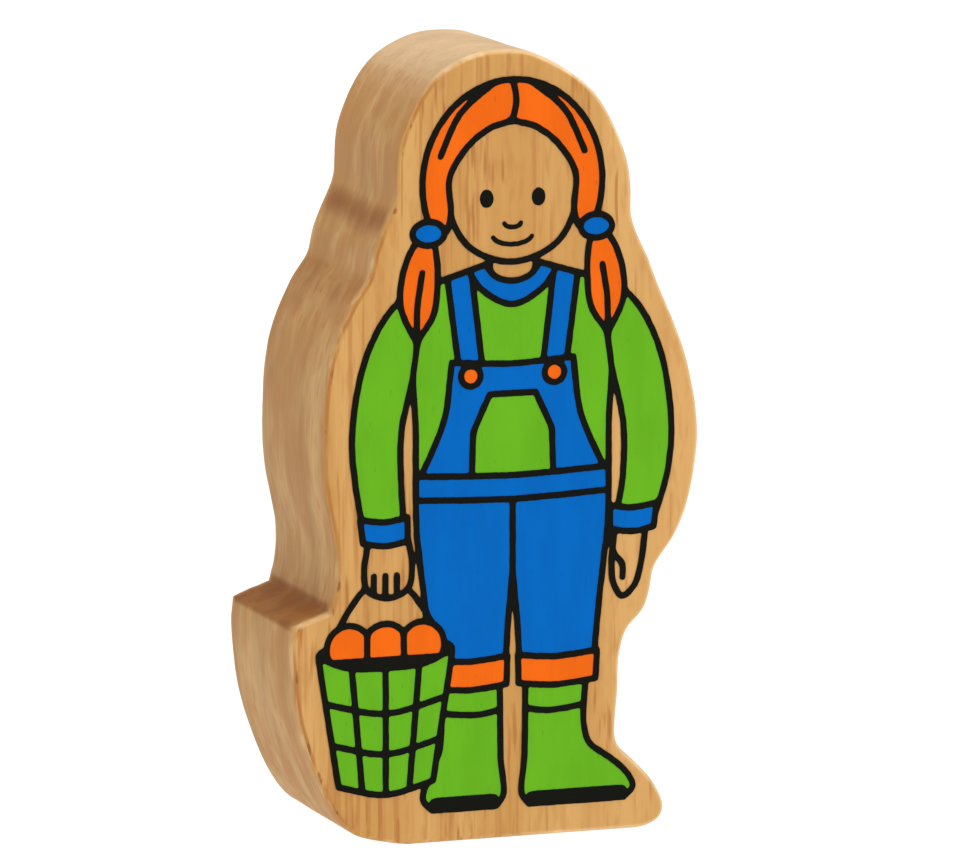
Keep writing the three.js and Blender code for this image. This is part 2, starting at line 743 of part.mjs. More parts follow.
// Each face is listed from what lies furthest back to what lies in front.
const FRONT = [
  boot("front_right_boot", -1, RIGHT_TOE_REACH),
  boot("front_left_boot", 1, LEFT_TOE_REACH),
  ...both(shirtSide, "front_shirt_SIDE"),
  shirtMiddle("front_shirt_middle", STRAP_FOOT_REACH, BIB_Z - 2 * TUCK),
  ...both(frontStrap, "front_SIDE_strap"),
  bib("front_bib"),
  ...both(button, "front_SIDE_button"),
  bibPocket("front_pocket"),
  trousers("front_trousers"),
  ...both(turnup, "front_SIDE_turnup"),
  handle(),
  closedHand([-1, 0, 1]),
  openHand(),
  ...both(sleeve, "front_SIDE_sleeve"),
  ...both(cuff, "front_SIDE_cuff"),
  neck(),
  collar("front_collar", COLLAR_DEPTH * 0.45),
  face(),
  partedHair("front_hair"),
  ...both(bunch, "front_SIDE_bunch"),
  ...both(tie, "front_SIDE_hair_tie"),
  basketMouth(),
  fruit("front_fruit"),
  basket("front_basket"),
];

const BACK = [
  boot("back_right_boot", -1, RIGHT_TOE_REACH),
  boot("back_left_boot", 1, LEFT_TOE_REACH),
  ...both(shirtSide, "back_shirt_SIDE"),
  shirtMiddle("back_shirt_middle", LINE_WIDTH * 0.2, ARMPIT_Z - TUCK),
  backBraces("back_braces"),
  trousers("back_trousers"),
  ...both(backPocket, "back_SIDE_pocket"),
  ...both(turnup, "back_SIDE_turnup"),
  handle(),
  closedHand([]),
  openHand(),
  ...both(sleeve, "back_SIDE_sleeve"),
  ...both(cuff, "back_SIDE_cuff"),
  neck(),
  collar("back_collar", COLLAR_DEPTH * 0.19),
  backHair("back_hair"),
  ...both(bunch, "back_SIDE_bunch"),
  ...both(tie, "back_SIDE_hair_tie"),
  basketMouth(),
  fruit("back_fruit"),
  basket("back_basket"),
];

const paint = (color, roughness) => new THREE.MeshStandardMaterial({ color, roughness, metalness: 0 });
const WOOD = paint(0xd4a05e, 0.6);
const INKS = {
  orange: paint(0xee6914, 0.5),
  green: paint(0x6cb522, 0.5),
  blue: paint(0x026ac0, 0.5),
  black: paint(0x1a1a14, 0.5),
};

function node(name, geometry, material) {
  const mesh = new THREE.Mesh(geometry, material);
  mesh.name = name;
  return mesh;
}

// Prints one face. Colour goes on the wood, cut back where a nearer thing covers it.
// Black goes over the seams.
function printed(prefix, things, outward) {
  const layer = (k) => [outward * k * INK_FILM, outward * (k + 1) * INK_FILM].sort((a, b) => a - b);
  const films = [];
  let lines = null;
  let seams = null;
  for (const { name, ink, edges, details, heavy = [] } of things) {
    const pens = [
      ...[...edges, ...details].map((line) => stroke(line, LINE_WIDTH, layer(1))),
      ...heavy.map((line) => stroke(line, SOLE_LINE, layer(1))),
    ];
    if (edges.length) {
      const outline = loop(edges);
      const covered = slab(outline, DEEP);
      for (const film of films) film.solid = film.solid.subtract(covered);
      lines = lines && lines.subtract(covered);
      seams = seams && seams.subtract(covered);
      const seam = edges.map((line) => stroke(line, COLOUR_SEAM, DEEP));
      seams = joined(seams ? [seams, ...seam] : seam);
      if (ink) films.push({ name, ink, solid: slab(outline, layer(0)) });
    }
    lines = joined(lines ? [lines, ...pens] : pens);
  }
  const face = new THREE.Group();
  for (const { name, ink, solid } of films) {
    face.add(node(name + "_ink", geometryOf(retraced(solid.subtract(seams), layer(0))), INKS[ink]));
  }
  face.add(node(prefix + "_black_line", geometryOf(retraced(lines, layer(1))), INKS.black));
  face.rotation.x = Math.PI / 2;
  face.position.y = (-outward * BLOCK_THICKNESS) / 2;
  return face;
}

// Black marks of the face, on bare wood.
function faceMarks() {
  const layer = [0, INK_FILM];
  const dip = (share, ru, rz) =>
    arc(0, CHIN_Z + EYE_HEIGHT * share, ru, rz, Math.PI + 0.2, 2 * Math.PI - 0.2);
  const marks = [
    ["front_right_eye_ink", slab(loop(oval(-EYE_REACH, EYE_Z, EYE_RADIUS, EYE_RADIUS * 1.25)), layer)],
    ["front_left_eye_ink", slab(loop(oval(EYE_REACH, EYE_Z, EYE_RADIUS, EYE_RADIUS * 1.25)), layer)],
    ["front_nose_ink", stroke(dip(0.62, NOSE_REACH, NOSE_REACH * 0.6), FACE_LINE, layer)],
    ["front_mouth_ink", stroke(dip(0.42, MOUTH_REACH, MOUTH_REACH * 0.45), FACE_LINE, layer)],
  ];
  const group = new THREE.Group();
  for (const [name, solid] of marks) group.add(node(name, geometryOf(solid), INKS.black));
  group.rotation.x = Math.PI / 2;
  group.position.y = -BLOCK_THICKNESS / 2;
  return group;
}

// The silhouette keeps about one margin of bare wood round the picture, and runs straight under both boots.
const EDGE = WOOD_MARGIN + LINE_WIDTH / 2;
const TOP_Z = CROWN_Z + EDGE;
const HAND_TIP_Z = WRIST_Z - HAND_LENGTH;
const RIM_REACH = BASKET_REACH + RIM_RADIUS;
const BASE_REACH = BASKET_REACH + BASE_RADIUS;
const silhouette = [
  [LEFT_TOE_REACH + EDGE * 0.48, 0],
  [LEFT_TOE_REACH + EDGE * 1.05, SOLE_Z - EDGE * 0.81],
  [LEFT_TOE_REACH + EDGE * 1.17, SOLE_Z - EDGE * 0.4],
  [LEFT_TOE_REACH + EDGE * 0.79, SOLE_Z + EDGE * 0.46],
  [LEFT_TOE_REACH + EDGE * 0.02, SOLE_Z + EDGE * 1.3],
  [LEG_REACH + EDGE * 0.9, SOLE_Z + EDGE * 1.9],
  [LEG_REACH + EDGE * 0.95, TURNUP_Z - EDGE * 0.65],
  [LEG_REACH + EDGE * 1.02, TURNUP_Z + TURNUP_DEPTH - EDGE * 0.2],
  [LEG_REACH + EDGE * 1.32, HAND_TIP_Z - EDGE * 1.1],
  [LEG_REACH + EDGE * 1.86, HAND_TIP_Z - EDGE * 0.57],
  [LEFT_WRIST_REACH + EDGE * 0.05, HAND_TIP_Z + EDGE * 0.14],
  [LEFT_WRIST_REACH + EDGE * 0.19, HAND_TIP_Z + EDGE * 0.89],
  [LEFT_WRIST_REACH + EDGE * 0.85, WRIST_Z - EDGE * 0.51],
  [LEFT_WRIST_REACH + EDGE * 1.34, WRIST_Z + EDGE * 0.54],
  [ELBOW_REACH + EDGE * 1.03, ELBOW_Z - EDGE * 0.1],
  [ELBOW_REACH + EDGE * 0.68, SHOULDER_Z - UPPER_ARM * 0.575],
  [ELBOW_REACH - EDGE * 0.03, SHOULDER_Z - EDGE * 1.16],
  [BUNCH_REACH + EDGE * 1.27, SHOULDER_Z - EDGE * 0.24],
  [BUNCH_REACH + EDGE, SHOULDER_Z + EDGE * 0.51],
  [HEAD_REACH + EDGE * 1.12, TIE_Z + EDGE * 0.19],
  [HEAD_REACH + EDGE * 1.1, TIE_Z + EDGE * 1.19],
  [HEAD_REACH + EDGE * 0.89, TEMPLE_Z + EDGE * 0.76],
  [HEAD_REACH - EDGE * 0.27, TOP_Z - EDGE * 1.5],
  [EDGE * 0.9, TOP_Z - EDGE * 0.18],
  [-EDGE * 0.11, TOP_Z],
  [-EDGE * 1.4, TOP_Z - EDGE * 0.13],
  [EDGE * 0.3 - HEAD_REACH, TOP_Z - EDGE],
  [-HEAD_REACH - EDGE * 0.79, TEMPLE_Z + EDGE * 1.32],
  [-HEAD_REACH - EDGE * 0.89, TEMPLE_Z - EDGE * 0.19],
  [-HEAD_REACH - EDGE, TEMPLE_Z - EDGE * 0.65],
  [-BUNCH_REACH - EDGE * 0.62, TIE_Z + EDGE * 0.16],
  [-BUNCH_REACH - EDGE * 0.92, TIE_Z - EDGE * 0.57],
  [-BUNCH_REACH - EDGE * 1.08, SHOULDER_Z + EDGE * 0.38],
  [EDGE * 0.08 - ELBOW_REACH, SHOULDER_Z - EDGE * 0.41],
  [-ELBOW_REACH - EDGE * 0.77, SHOULDER_Z - UPPER_ARM * 0.455],
  [-ELBOW_REACH - EDGE * 1.01, ELBOW_Z],
  [-ELBOW_REACH - EDGE * 0.92, ELBOW_Z - FOREARM * 0.48],
  [-RIGHT_WRIST_REACH - EDGE * 1.03, WRIST_Z - EDGE * 0.22],
  [-RIGHT_WRIST_REACH - EDGE * 1.09, RIM_Z + EDGE * 2.2],
  [EDGE * 0.41 - RIM_REACH, RIM_Z + EDGE * 1.58],
  [EDGE * 0.1 - RIM_REACH, RIM_Z + EDGE * 1.37],
  [-RIM_REACH - EDGE * 0.57, RIM_Z + EDGE * 1.15],
  [-RIM_REACH - EDGE * 0.88, RIM_Z + EDGE * 0.68],
  [-RIM_REACH - EDGE * 0.91, RIM_Z - EDGE * 0.35],
  [-BASE_REACH - EDGE * 1.17, BASKET_Z + EDGE * 1.46],
  [EDGE * 0.38 - BASE_REACH, BASKET_Z - EDGE * 1.57],
  [EDGE * 2.3 - BASE_REACH, 0],
];

function block() {
  const geometry = new THREE.ExtrudeGeometry(new THREE.Shape(loop([spline(...silhouette)])), {
    depth: BLOCK_THICKNESS - 2 * EDGE_ROUND,
    bevelThickness: EDGE_ROUND,
    bevelSize: EDGE_ROUND,
    bevelOffset: -EDGE_ROUND,
    bevelSegments: 3,
  });
  geometry.translate(0, 0, EDGE_ROUND - BLOCK_THICKNESS / 2);
  const mesh = node("wood_block", geometryOf(solidOf(geometry)), WOOD);
  mesh.rotation.x = Math.PI / 2;
  return mesh;
}

const figure = new THREE.Group();
const wood = block();
figure.add(wood, printed("front", FRONT, 1), faceMarks(), printed("back", BACK, -1));
wood.geometry.computeBoundingBox();
figure.position.x = -(wood.geometry.boundingBox.min.x + wood.geometry.boundingBox.max.x) / 2;

const toy = new THREE.Group();
toy.add(figure);

export default toy;
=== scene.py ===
import json
import math

import bmesh
import bpy
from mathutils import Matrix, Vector, noise


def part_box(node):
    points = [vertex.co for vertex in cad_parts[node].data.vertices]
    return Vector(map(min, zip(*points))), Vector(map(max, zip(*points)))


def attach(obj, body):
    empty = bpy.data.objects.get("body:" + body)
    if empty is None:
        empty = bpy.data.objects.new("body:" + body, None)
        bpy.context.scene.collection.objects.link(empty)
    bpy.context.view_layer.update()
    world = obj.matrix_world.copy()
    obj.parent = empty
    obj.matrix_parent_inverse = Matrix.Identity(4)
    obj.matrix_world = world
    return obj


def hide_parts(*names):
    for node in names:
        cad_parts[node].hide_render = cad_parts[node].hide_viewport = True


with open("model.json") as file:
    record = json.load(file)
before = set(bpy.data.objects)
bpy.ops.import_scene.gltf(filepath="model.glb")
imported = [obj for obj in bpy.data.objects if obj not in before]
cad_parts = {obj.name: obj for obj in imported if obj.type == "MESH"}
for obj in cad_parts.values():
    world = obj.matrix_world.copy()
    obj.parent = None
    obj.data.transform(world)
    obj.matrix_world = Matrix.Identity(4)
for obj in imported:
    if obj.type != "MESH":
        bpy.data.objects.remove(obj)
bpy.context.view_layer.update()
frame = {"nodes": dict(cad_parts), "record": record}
scene = bpy.context.scene

# The block is one piece of pale hardwood, sawn from a thick board to the figure's silhouette, grain upright.
# Its walls are drum-sanded, which leaves them faintly wavy, and its long edges are rounded by hand.
# In the hollows of the outline the sander lingers and burns the wood a little, and their shade is painted in
# with the burn, so they are darker.
MM = 0.001
SAME_POINT = 0.001 * MM
STRAIGHT = math.radians(0.3)  # a point where the outline turns less than this isn't needed
CORNER = math.radians(62)  # a point that turns less than this lies on a curve, and the others are corners
SPIKE = math.radians(130)  # a corner that turns more than this stays sharp
CURVE_STEP = 1.6 * MM
CURVE_SHARE = 45  # percent of each straight stretch, from either end
CURVE_PIECES = 3
OUTLINE_STEP = 0.6 * MM
DRUM_PASSES = 3
DRUM_FORCE = 0.5
LEDGE = (  # its corner and its crease, and how far round each of them the curve is taken out
    (Vector((-26.6 * MM, 0, 28.3 * MM)), 2.4 * MM),
    (Vector((-21.85 * MM, 0, 30.05 * MM)), 1.1 * MM),
)
EDGE_RADIUS = 0.8 * MM
EDGE_SEGMENTS = 5
WALL_STEP = 1.0 * MM
WALL_WAVE = 0.05 * MM
WALL_WAVE_LENGTH = 9 * MM
EDGE_WEAR = 0.22 * MM
EDGE_WEAR_LENGTH = 4.5 * MM
EDGE_WEAR_SHIFT = Vector((7, 3, 1))  # sets this noise apart from the wall's
FACING = 0.999  # how squarely a face of the board looks to the front or the back
FLAT_RING = 0.1 * MM
FLAT_CELL = 6 * MM
# The hollows that are darkened, partly by sanding burns and partly by painted shade.
BURNS_AND_SHADES = (  # side, which is -1 on the figure's right, then height, spread up and down, and strength
    (-1, 29.6 * MM, 4.4 * MM, 1.0),
    (-1, 68.5 * MM, 5.0 * MM, 0.5),
    (-1, 78.3 * MM, 2.1 * MM, 1.15),
    (1, 11.5 * MM, 3.5 * MM, 0.8),
    (1, 28.0 * MM, 4.0 * MM, 0.5),
    (1, 76.0 * MM, 4.0 * MM, 0.6),
)
BURN_AND_SHADE_WAVE = 0.9 * MM
BURN_AND_SHADE_SHIFT = Vector((2, 9, 4))
TOUCH = 0.02 * MM  # a point nearer than this to the base or to a face lies on it
low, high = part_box("wood_block")
half_thick = high.y


def turn(vert):
    """The angle by which an outline turns at a point."""
    before, after = [edge.other_vert(vert).co for edge in vert.link_edges]
    return (vert.co - before).angle(after - vert.co)


def round_off(outline, least, most):
    """Turns each corner between these angles into a curve that takes up most of the straights beside it."""
    bmesh.ops.bevel(
        outline,
        geom=[v for v in outline.verts if least < turn(v) < most],
        offset=CURVE_SHARE,
        offset_type="PERCENT",
        affect="VERTICES",
        segments=CURVE_PIECES,
        profile=0.5,
        material=-1,
    )


def cut_fine(outline, step):
    """Cuts each edge into even pieces, none longer than the step."""
    by_cuts = {}
    for edge in outline.edges:
        by_cuts.setdefault(int(edge.calc_length() / step), []).append(edge)
    for cuts in sorted(by_cuts.keys() - {0}):
        bmesh.ops.subdivide_edges(outline, edges=by_cuts[cuts], cuts=cuts)


def eased_outline(node, step):
    """The outline of a flat node, cut through its middle, with its facets eased into curves of fine edges."""
    near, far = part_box(node)
    outline = bmesh.new()
    outline.from_mesh(frame["nodes"][node].data)
    bmesh.ops.remove_doubles(outline, verts=outline.verts, dist=SAME_POINT)
    everything = [*outline.verts, *outline.edges, *outline.faces]
    middle = (near + far) / 2
    bmesh.ops.bisect_plane(
        outline, geom=everything, plane_co=middle, plane_no=(0, 1, 0), clear_inner=True, clear_outer=True
    )
    bmesh.ops.dissolve_verts(outline, verts=[v for v in outline.verts if turn(v) < STRAIGHT])
    cut_fine(outline, CURVE_STEP)
    round_off(outline, STRAIGHT, CORNER)
    cut_fine(outline, step)
    round_off(outline, CORNER, SPIKE)
    return outline


def thickened(shape, depth):
    """Draws the flat faces out by half the depth to the front and half to the back."""
    bmesh.ops.translate(shape, verts=shape.verts, vec=(0, -depth / 2, 0))
    moved = bmesh.ops.extrude_face_region(shape, geom=shape.faces[:], use_keep_orig=True)["geom"]
    far_side = [v for v in moved if isinstance(v, bmesh.types.BMVert)]
    bmesh.ops.translate(shape, verts=far_side, vec=(0, depth, 0))
    bmesh.ops.recalc_face_normals(shape, faces=shape.faces)


def sideways_part(normal):
    """A normal without its part to the front or the back."""
    return Vector((normal.x, 0, normal.z))


def is_flat(face):
    """True for the broad front and back of the board, and not for the four-sided facets round them."""
    return abs(face.normal.y) > FACING and len(face.verts) > 4


def finished(name, shape, node, material):
    """Makes a shape into a piece of the object, which stands for a node."""
    data = bpy.data.meshes.new(name)
    shape.to_mesh(data)
    shape.free()
    data.materials.append(material)
    piece = bpy.data.objects.new(name, data)
    scene.collection.objects.link(piece)
    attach(piece, "root")
    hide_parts(node)


# The drum takes the last facets off the sawn outline, and leaves the base flat.
block = eased_outline("wood_block", OUTLINE_STEP)
base = {v for v in block.verts if v.co.z < TOUCH}
sanded = [v for v in block.verts if any(e.other_vert(v) not in base for e in v.link_edges)]
for _ in range(DRUM_PASSES):
    bmesh.ops.smooth_vert(block, verts=sanded, factor=DRUM_FORCE, use_axis_x=True, use_axis_z=True)

# The ledge keeps the corner and the crease that the saw left, because the drum doesn't reach into it.
for meeting, reach in LEDGE:
    rounded = [v for v in block.verts if (v.co - meeting).length < reach]
    bmesh.ops.pointmerge(block, verts=rounded, merge_co=meeting)
cut_fine(block, CURVE_STEP)
bmesh.ops.edgeloop_fill(block, edges=block.edges)
thickened(block, 2 * half_thick)

# Both faces get the rounded edge, and the wall between is cut into rows, so that it can be wavy.
# The waves and the wear of the edge only take wood away.
rims = [e for face in block.faces if is_flat(face) for e in face.edges]
bmesh.ops.bevel(
    block, geom=rims, offset=EDGE_RADIUS, affect="EDGES", segments=EDGE_SEGMENTS, profile=0.5, material=-1
)
long_edges = [e for e in block.edges if abs(e.verts[0].co.y - e.verts[1].co.y) > half_thick]
bmesh.ops.subdivide_edges(block, edges=long_edges, cuts=int(2 * half_thick / WALL_STEP), use_grid_fill=True)
block.normal_update()
for vert in [v for v in block.verts if abs(v.co.y) < half_thick - TOUCH and v.co.z > TOUCH]:
    wave = noise.noise(vert.co / WALL_WAVE_LENGTH) * WALL_WAVE - WALL_WAVE
    rounding = max(0, (abs(vert.co.y) - half_thick + EDGE_RADIUS) / EDGE_RADIUS)
    wear = max(0, noise.noise(vert.co / EDGE_WEAR_LENGTH + EDGE_WEAR_SHIFT)) * EDGE_WEAR * rounding
    vert.co += sideways_part(vert.normal) * (wave - wear)

# The flat faces keep a narrow ring beside the rounded edge, and inside it they are cut into even cells.
bmesh.ops.inset_region(block, faces=[f for f in block.faces if is_flat(f)], thickness=FLAT_RING)
for face in block.faces:
    face.smooth = not is_flat(face)
for axis in (0, 2):
    for k in range(1, math.ceil((high[axis] - low[axis]) / FLAT_CELL)):
        place = Vector((0, 0, 0))
        place[axis] = low[axis] + k * FLAT_CELL
        flats = [f for f in block.faces if not f.smooth]
        rim_parts = {part for f in flats for part in (*f.edges, *f.verts)}
        square_to_cut = Vector((axis == 0, 0, axis == 2))
        bmesh.ops.bisect_plane(block, geom=[*flats, *rim_parts], plane_co=place, plane_no=square_to_cut)

# Marks kept with the mesh: how burnt and painted with shade the wall is, how far it faces up and how far
# sideways.
MESH_MARKS = ("burn_and_shade", "upward", "sideways")
burn_and_shade_layer, upward_layer, sideways_layer = [block.verts.layers.float.new(mark) for mark in MESH_MARKS]
block.normal_update()
for vert in block.verts:
    uneven = noise.noise(vert.co / WALL_WAVE_LENGTH + BURN_AND_SHADE_SHIFT) * BURN_AND_SHADE_WAVE
    for side, height, spread, strength in BURNS_AND_SHADES:
        if side * vert.co.x > 0:
            burn_and_shade_level = strength * max(0, 1 - ((vert.co.z + uneven - height) / spread) ** 2)
            vert[burn_and_shade_layer] = max(vert[burn_and_shade_layer], burn_and_shade_level)
    outward = sideways_part(vert.normal).normalized()
    vert[upward_layer] = max(0, outward.z)
    vert[sideways_layer] = abs(outward.x)

# A Mix node's numbers for its factor, its two colours and the colour that comes out.
MIX_FACTOR = 0
MIX_FIRST = 6
MIX_SECOND = 7
MIX_RESULT = 2


class Value:
    """A shader's socket that takes part in sums, so that a pattern reads as the formula it is."""

    def __init__(self, tree, socket):
        self.tree = tree
        self.socket = socket

    def node(self, kind, sockets, settings=None, output=0):
        """Adds a node: its settings first, then a value or a link for each socket, by name or number."""
        made = self.tree.nodes.new(kind)
        for name, setting in (settings or {}).items():
            setattr(made, name, setting)
        for place, given in sockets.items():
            if isinstance(given, Value):
                given.feed(made.inputs[place])
            else:
                made.inputs[place].default_value = given
        return Value(self.tree, made.outputs[output])

    def feed(self, socket):
        self.tree.links.new(self.socket, socket)

    def maths(self, operation, *operands):
        return self.node("ShaderNodeMath", dict(enumerate(operands)), {"operation": operation})

    def __add__(self, other):
        return self.maths("ADD", self, other)

    def __sub__(self, other):
        return self.maths("SUBTRACT", self, other)

    def __rsub__(self, other):
        return self.maths("SUBTRACT", other, self)

    def __mul__(self, other):
        return self.maths("MULTIPLY", self, other)

    def __abs__(self):
        return self.maths("ABSOLUTE", self)

    __radd__ = __add__
    __rmul__ = __mul__

    def step(self, start, end):
        """0 before start, 1 after end, smooth between."""
        sockets = {"Value": self, "From Min": start, "From Max": end}
        return self.node("ShaderNodeMapRange", sockets, {"interpolation_type": "SMOOTHSTEP"})

    def band(self, start, full, fade, end):
        """0 before start, 1 from full to fade, 0 after end, smooth between."""
        return self.step(start, full) * (1 - self.step(fade, end))

    def mix(self, first, second):
        """The first colour where this is 0, the second where it is 1."""
        sockets = {MIX_FACTOR: self, MIX_FIRST: first, MIX_SECOND: second}
        return self.node("ShaderNodeMix", sockets, {"data_type": "RGBA"}, MIX_RESULT)

    def times(self, other):
        """Two colours multiplied."""
        sockets = {MIX_FACTOR: 1, MIX_FIRST: self, MIX_SECOND: other}
        settings = {"data_type": "RGBA", "blend_type": "MULTIPLY"}
        return self.node("ShaderNodeMix", sockets, settings, MIX_RESULT)


def blank(name):
    """A new material, its shader, and the place on the object that is being coloured."""
    material = bpy.data.materials.new(name)
    material.use_nodes = True
    shader = material.node_tree.nodes["Principled BSDF"]
    spot = material.node_tree.nodes.new("ShaderNodeTexCoord")
    return material, shader, Value(material.node_tree, spot.outputs["Object"])


GRAIN_ROUGHNESS = 0.55


def grain(spot, width, length, shift, detail=1):
    """Noise drawn out along the upright grain, in patches of about this width and length.

    The shift sets one pattern apart from another.
    """
    scale = (1 / width, 1 / width, 1 / length)
    sockets = {"Vector": spot, "Location": (shift, 2 * shift, shift), "Scale": scale}
    drawn_out = spot.node("ShaderNodeMapping", sockets)
    sockets = {"Vector": drawn_out, "Scale": 1, "Detail": detail, "Roughness": GRAIN_ROUGHNESS}
    return drawn_out.node("ShaderNodeTexNoise", sockets)


def marks(spot, begins, full, thinned=None, **patch):
    """Marks along the grain, which begin at one level of the noise and are full at another.

    Where the noise is thinned, there are fewer of them.
    """
    level = grain(spot, **patch)
    if thinned is not None:
        level = level - thinned
    return level.step(begins, full)


def surface(shader, colour, roughness, relief, strength, depth, shine):
    """Gives a shader its patterns. The relief is a bump of this strength and depth."""
    colour.feed(shader.inputs["Base Color"])
    roughness.feed(shader.inputs["Roughness"])
    bump = relief.node("ShaderNodeBump", {"Height": relief, "Strength": strength, "Distance": depth})
    bump.feed(shader.inputs["Normal"])
    shader.inputs["Specular IOR Level"].default_value = shine


FIBRES = {"width": 0.25 * MM, "length": 6 * MM, "shift": 8, "detail": 2}
FLECK_LEAN = 8  # per metre, towards the figure's right, where more of the marks lie
VEIN_LEAN = 5
# Painted shade round the head: the pale blotches are thinned there, so the wall is darker.
HEAD_SHADE_DEPTH = 0.14  # how far the level of the pale blotches is lowered round the head
NECK_TO_HEAD = (high.z - 24 * MM, high.z - 12 * MM)
HEAD_TO_CROWN = (high.z - 14 * MM, high.z - 5 * MM)
RIGHT_TO_LEFT = (-8 * MM, 8 * MM)
MIDDLE_TO_LEFT = (-4 * MM, 10 * MM)
FACE_TO_WALL = (0.1 * MM, 0.75 * MM)  # these four are distances in from the face
FACE_TO_BURN_AND_SHADE = (0.25 * MM, 2.2 * MM)
ROUND_EDGE = (0.005 * MM, 0.16 * MM, 0.6 * MM, 1.2 * MM)
BRINK = (0.01 * MM, 0.05 * MM, 0.18 * MM, 0.30 * MM)
FACE_DARK = (0.57, 0.282, 0.072, 1)
FACE_PALE = (0.68, 0.375, 0.122, 1)
FLECK_BROWN = (0.46, 0.185, 0.04, 1)
TICK_BROWN = (0.21, 0.09, 0.018, 1)
WALL_BROWN = (0.462, 0.226, 0.06, 1)
WALL_GREY = (0.575, 0.341, 0.126, 1)
# The crown's pale end grain, with painted top light in it.
WALL_TOP_GRAIN_AND_LIGHT = (0.645, 0.44, 0.245, 1)
WALL_DIM = (0.91, 0.90, 0.88, 1)  # the wall's colour is multiplied by a mix of these two
WALL_LIT = (1.07, 1.07, 1.07, 1)
# Pale sanded spots, and painted highlight on the rounded edge.
SANDED_SPOT_AND_HIGHLIGHT = (0.86, 0.62, 0.34, 1)
# The colour of the sanding burns and the painted shade in the hollows.
BURNT_AND_SHADED = (0.57, 0.375, 0.145, 1)
WHITE = (1, 1, 1, 1)


def wall_colour(spot, height, upward, tone):
    """The wall is blotched by the drum, darker round the head with painted shade, and pale on the crown,
    partly end grain and partly painted top light.
    """
    # Painted shade darkens the wall round the head.
    painted_head_shade = height.step(*NECK_TO_HEAD) * HEAD_SHADE_DEPTH
    blotches = marks(
        spot, width=5 * MM, length=13 * MM, shift=21, detail=2, begins=0.35, full=0.65, thinned=painted_head_shade
    )
    # Painted top light, with the pale end grain, on the crown where the wall faces up.
    crown = upward.step(0.35, 0.95) * height.step(*HEAD_TO_CROWN)
    colour = crown.mix(blotches.mix(WALL_BROWN, WALL_GREY), WALL_TOP_GRAIN_AND_LIGHT)
    return colour.times(tone.mix(WALL_DIM, WALL_LIT))


def open_vessels(spot, across):
    """Short dark dashes in loose bunches, where the saw opens the vessels of the wood."""
    dashes = marks(spot, width=0.9 * MM, length=9 * MM, shift=11, begins=0.57, full=0.70)
    lean = across * FLECK_LEAN
    bunches = marks(
        spot, width=6 * MM, length=40 * MM, shift=5, detail=0, begins=0.34, full=0.54, thinned=lean
    )
    return dashes * bunches


def brown_marks(spot, across, upward, wall, flecks):
    """Flecks and smudges all over, stains on the wall and veins on the faces, all fainter on end grain."""
    smudges = marks(spot, width=1.0 * MM, length=4 * MM, shift=61, begins=0.50, full=0.75)
    stains = marks(spot, width=0.8 * MM, length=8 * MM, shift=71, begins=0.52, full=0.70) * wall
    lean = across * VEIN_LEAN
    veins = marks(spot, width=0.8 * MM, length=28 * MM, shift=81, begins=0.58, full=0.72, thinned=lean)
    shown = flecks * (0.85 - wall * 0.6) + smudges * 0.3 + stains * 0.4 + veins * (1 - wall) * 0.6
    end_grain = upward.step(0.5, 0.95) * wall
    return shown * (1 - end_grain * 0.7)


def sanded_spots_and_highlight(spot, across, upward, inward):
    """The rounded edge is sanded pale in spots, and has a painted highlight on the figure's left and on top.
    """
    spots = marks(spot, width=2.5 * MM, length=4 * MM, shift=31, begins=0.54, full=0.70)
    # Painted highlight along the rounded edge on the figure's left and where it faces up.
    painted_highlight = across.step(*MIDDLE_TO_LEFT) * 0.4 + upward.step(0.4, 0.9) * 0.25
    return (spots * 0.34 + painted_highlight) * inward.band(*ROUND_EDGE)


def torn_edge(colour, spot, across, sideways, inward):
    """A broken brown line with darker ticks, where the saw tore the upright edges on the figure's right."""
    brink = inward.band(*BRINK) * sideways.step(0.5, 0.9) * (1 - across.step(*RIGHT_TO_LEFT))
    line = marks(spot, width=4 * MM, length=10 * MM, shift=51, begins=0.38, full=0.56)
    ticks = marks(spot, width=1.2 * MM, length=2.5 * MM, shift=91, begins=0.60, full=0.68)
    colour = (brink * line * 0.9).mix(colour, FLECK_BROWN)
    return (brink * ticks * 0.75).mix(colour, TICK_BROWN)


